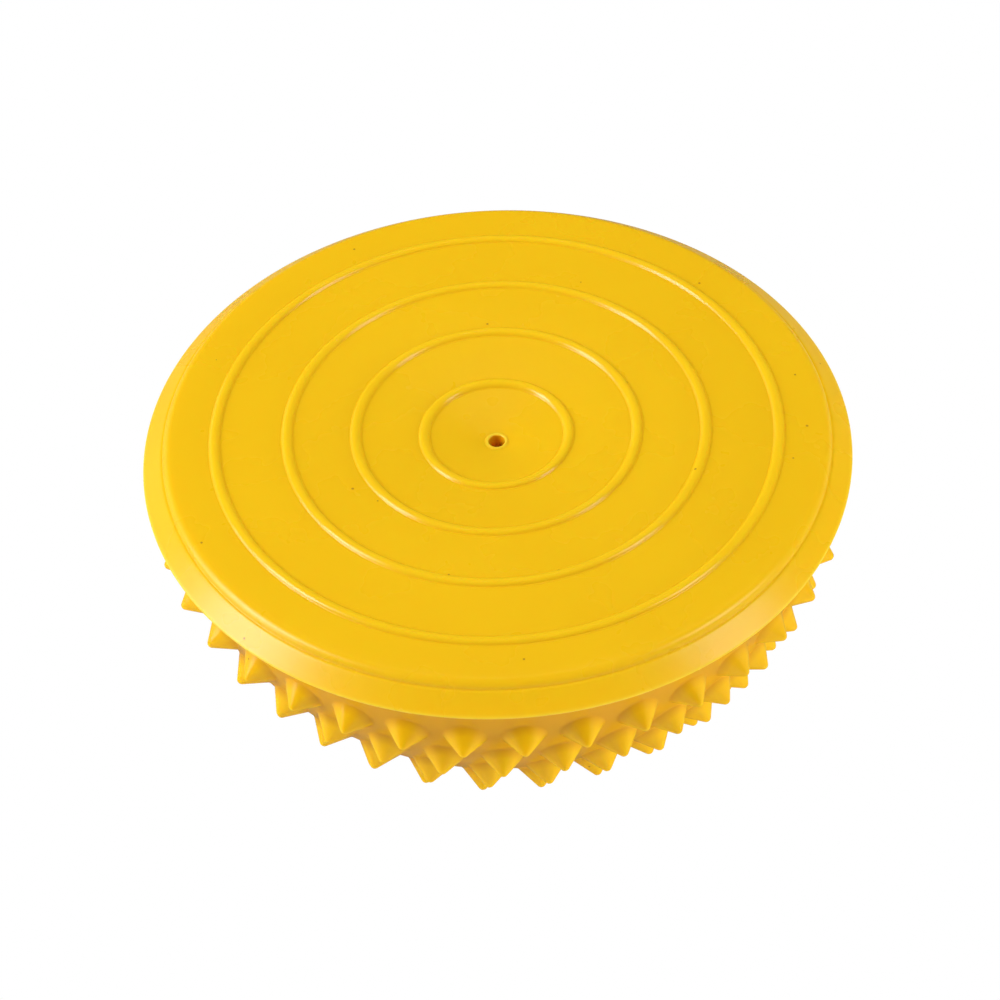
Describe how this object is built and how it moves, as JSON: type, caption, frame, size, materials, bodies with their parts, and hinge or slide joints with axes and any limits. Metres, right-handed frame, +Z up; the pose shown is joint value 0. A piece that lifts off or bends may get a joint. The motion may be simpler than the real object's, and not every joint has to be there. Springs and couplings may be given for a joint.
{
  "type": "spiked balance pod",
  "caption": "Hollow soft PVC half-ball with conical spikes, a flat ribbed base disc with a bevelled rim and a recessed needle valve.",
  "frame": {"origin": "on the centre line, at the height of the lowest spike tips, with the pod standing dome down", "axes": "+Z up along the pod's centre line and out of the flat base face; the spike rows are counted from -Y"},
  "size_m": [0.16, 0.16, 0.0819],
  "materials": {
    "skin": "satin moulded soft PVC",
    "valve_boss": "matt moulded soft PVC",
    "valve_rubber": "matt soft rubber"
  },
  "bodies": {
    "root": {"base_disc": "skin", "dome_shell": "skin", "valve_housing": "valve_boss", "valve_core": "valve_rubber"}
  },
  "joints": []
}
